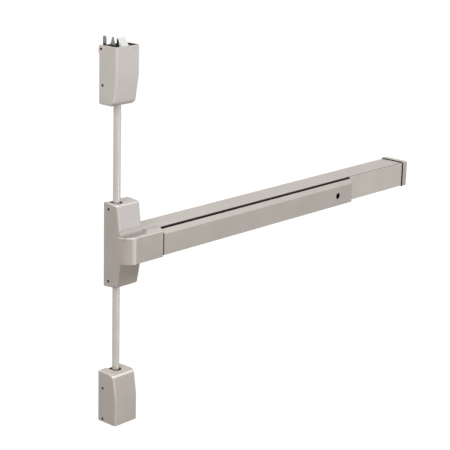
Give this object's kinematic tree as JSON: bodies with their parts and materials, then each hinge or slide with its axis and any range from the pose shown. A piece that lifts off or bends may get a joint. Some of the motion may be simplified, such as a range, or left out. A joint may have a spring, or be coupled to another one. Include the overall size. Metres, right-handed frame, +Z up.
{
  "type": "vertical rod exit device",
  "caption": "Surface mounted exit device: a long push bar beside a centre case, with rods up and down to latch cases that hold the door at its head and at its floor.",
  "frame": {"origin": "on the door's face, which is the back of the mounting plates, where the centre line of the centre case crosses the centre line of the rail", "axes": "+X along the rail, away from the centre case; +Y into the door; +Z up along the rods"},
  "size_m": [1.0849, 0.0805, 0.9052],
  "materials": {
    "satin_paint": "satin sprayed aluminium lacquer on steel covers",
    "rail_aluminium": "satin lacquered extrusion",
    "rod_paint": "satin sprayed aluminium lacquer on steel rod",
    "zinc_plate": "pressed steel, zinc plated",
    "pin_steel": "turned steel",
    "screw_steel": "small plated screws",
    "spring_steel": "wound spring wire",
    "bright_steel": "bright machined bolts",
    "nylon": "natural nylon bushes",
    "dark_plastic": "dark moulded plugs"
  },
  "bodies": {
    "device_frame": {"centre_base": "zinc_plate", "centre_cover": "satin_paint", "centre_cover_screws": "screw_steel", "lever_posts": "pin_steel", "upper_guide": "zinc_plate", "lower_guide": "zinc_plate", "guide_bushes": "nylon", "rail_channel": "rail_aluminium", "rail_screws": "screw_steel", "near_crank_bracket": "zinc_plate", "far_crank_bracket": "zinc_plate", "crank_pins": "pin_steel", "end_filler": "rail_aluminium", "end_cap": "satin_paint", "end_bracket": "zinc_plate", "dogging_bracket": "zinc_plate", "top_base": "zinc_plate", "top_cover": "satin_paint", "top_cover_screws": "screw_steel", "latch_pivot_pin": "pin_steel", "bottom_base": "zinc_plate", "bottom_cover": "satin_paint", "bottom_cover_screws": "screw_steel"},
    "touch_bar": {"touch_bar": "rail_aluminium", "touch_bar_ends": "dark_plastic", "near_drive_bracket": "zinc_plate", "far_drive_bracket": "zinc_plate", "return_springs": "spring_steel"},
    "near_crank": {"near_crank": "zinc_plate"},
    "far_crank": {"far_crank": "zinc_plate"},
    "link_bar": {"link_bar": "zinc_plate"},
    "upper_lever": {"upper_lever": "zinc_plate"},
    "lower_lever": {"lower_lever": "zinc_plate"},
    "upper_rod": {"upper_rod": "rod_paint", "upper_connector": "zinc_plate", "latch_lift": "zinc_plate"},
    "lower_rod": {"lower_rod": "rod_paint", "lower_connector": "zinc_plate", "bottom_bolt": "bright_steel", "bolt_spring": "spring_steel"},
    "latch": {"latch_bolt": "bright_steel", "latch_lift_pin": "pin_steel"},
    "dogging": {"dogging_screw": "pin_steel"}
  },
  "joints": [
    {"name": "touch_bar_push", "type": "slide", "parent": "device_frame", "child": "touch_bar", "axis": [0, 1, 0], "range_m": [0, 0.012], "stiffness_N_per_m": 800, "springref_m": -0.02, "deforming": ["return_springs"]},
    {"name": "near_crank_turn", "type": "hinge", "parent": "device_frame", "child": "near_crank", "pos_m": [0.16, -0.036, 0], "axis": [0, 0, 1], "range_deg": [-28.1, 0]},
    {"name": "far_crank_turn", "type": "hinge", "parent": "device_frame", "child": "far_crank", "pos_m": [0.64, -0.036, 0], "axis": [0, 0, 1], "range_deg": [-28.1, 0]},
    {"name": "link_bar_slide", "type": "slide", "parent": "device_frame", "child": "link_bar", "axis": [1, 0, 0], "range_m": [0, 0.01005]},
    {"name": "upper_lever_turn", "type": "hinge", "parent": "device_frame", "child": "upper_lever", "pos_m": [0.00836, -0.0165, 0.032], "axis": [0, -1, 0], "range_deg": [0, 24.1]},
    {"name": "lower_lever_turn", "type": "hinge", "parent": "device_frame", "child": "lower_lever", "pos_m": [0.00836, -0.0165, -0.032], "axis": [0, 1, 0], "range_deg": [0, 24.1]},
    {"name": "upper_rod_slide", "type": "slide", "parent": "device_frame", "child": "upper_rod", "axis": [0, 0, -1], "range_m": [0, 0.01025]},
    {"name": "lower_rod_slide", "type": "slide", "parent": "device_frame", "child": "lower_rod", "axis": [0, 0, 1], "range_m": [0, 0.01025], "deforming": ["bolt_spring"]},
    {"name": "latch_turn", "type": "hinge", "parent": "device_frame", "child": "latch", "pos_m": [-0.01585, -0.013, 0.43], "axis": [1, 0, 0], "range_deg": [0, 33]},
    {"name": "dogging_turn", "type": "hinge", "parent": "device_frame", "child": "dogging", "pos_m": [0.71995, -0.04, -0.0076], "axis": [0, -1, 0], "range_deg": [0, 90]}
  ],
  "couplings": [
    {"joint": "near_crank_turn", "follows": "touch_bar_push", "rad_per_m": -40.727},
    {"joint": "far_crank_turn", "follows": "touch_bar_push", "rad_per_m": -40.727},
    {"joint": "link_bar_slide", "follows": "touch_bar_push", "ratio": 0.83347},
    {"joint": "upper_lever_turn", "follows": "touch_bar_push", "rad_per_m": 34.984},
    {"joint": "lower_lever_turn", "follows": "touch_bar_push", "rad_per_m": 34.984},
    {"joint": "upper_rod_slide", "follows": "touch_bar_push", "ratio": 0.85014},
    {"joint": "lower_rod_slide", "follows": "touch_bar_push", "ratio": 0.85014},
    {"joint": "latch_turn", "follows": "touch_bar_push", "rad_per_m": 47.886}
  ]
}
